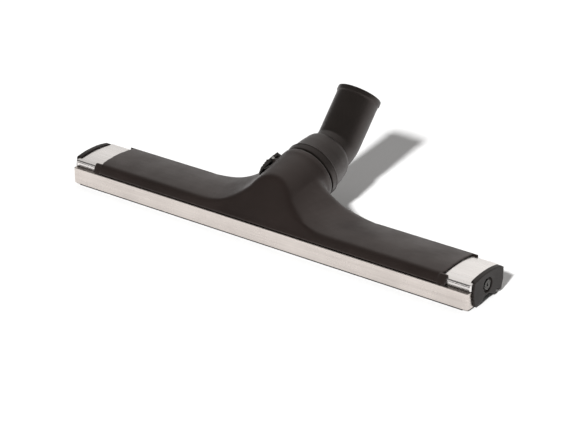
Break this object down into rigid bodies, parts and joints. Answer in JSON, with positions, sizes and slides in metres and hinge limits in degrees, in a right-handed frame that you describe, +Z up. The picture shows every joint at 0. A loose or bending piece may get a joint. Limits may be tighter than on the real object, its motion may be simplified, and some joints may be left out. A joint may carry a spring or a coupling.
{
  "type": "vacuum floor tool",
  "caption": "Wide vacuum floor tool with a metal-edged sole, black moulded hood, end caps, rubber lips, small rear rollers and a bent swivel neck that takes the wand.",
  "frame": {"origin": "on the floor under the centre of the whole tool's box", "axes": "+Z up, +X along the tool, +Y from the front strip towards the neck"},
  "size_m": [0.454, 0.1766, 0.1105],
  "materials": {
    "brushed_aluminium": "brushed along its length, clear anodised",
    "polished_strip": "fine brushed strip with soft streaks",
    "black_rubber": "matt rubber",
    "hood_plastic": "moulded black plastic, fine texture",
    "neck_plastic": "moulded black plastic, smoother than the hood",
    "latch_plastic": "moulded black plastic",
    "screw_steel": "blackened steel",
    "plain_steel": "plain steel",
    "bearing_plastic": "natural acetal",
    "roller_plastic": "hard grey plastic"
  },
  "bodies": {
    "nozzle": {"sole_body": "brushed_aluminium", "front_rail": "polished_strip", "rear_rail": "polished_strip", "front_lip": "black_rubber", "rear_lip": "black_rubber", "left_end_cap": "hood_plastic", "right_end_cap": "hood_plastic", "end_cap_screws": "screw_steel", "top_hood": "hood_plastic", "hood_gasket": "black_rubber", "hood_screws": "plain_steel", "bearing_ring": "bearing_plastic", "swivel_seal": "black_rubber", "latch_pin": "plain_steel", "latch_spring": "plain_steel", "roller_axles": "plain_steel", "roller_brackets": "plain_steel"},
    "neck": {"swivel_collar": "hood_plastic", "elbow_tube": "neck_plastic", "retaining_ring": "plain_steel", "spigot_o_ring": "black_rubber"},
    "latch": {"release_latch": "latch_plastic"},
    "left_wheel": {"left_roller": "roller_plastic"},
    "right_wheel": {"right_roller": "roller_plastic"}
  },
  "joints": [
    {"name": "neck_swivel", "type": "hinge", "parent": "nozzle", "child": "neck", "pos_m": [0, -0.01293, 0.0426], "axis": [0, 0.9659, 0.2588], "continuous": true},
    {"name": "latch_rock", "type": "hinge", "parent": "nozzle", "child": "latch", "pos_m": [-0.02817, -0.03033, 0.05344], "axis": [0.4695, -0.2285, 0.8529], "range_deg": [0, 6], "stiffness_Nm_per_rad": 0.5, "springref_deg": -5.73, "deforming": ["latch_spring"]},
    {"name": "left_wheel_spin", "type": "hinge", "parent": "nozzle", "child": "left_wheel", "pos_m": [-0.15, -0.04833, 0.0067], "axis": [1, 0, 0], "continuous": true},
    {"name": "right_wheel_spin", "type": "hinge", "parent": "nozzle", "child": "right_wheel", "pos_m": [0.15, -0.04833, 0.0067], "axis": [1, 0, 0], "continuous": true}
  ]
}
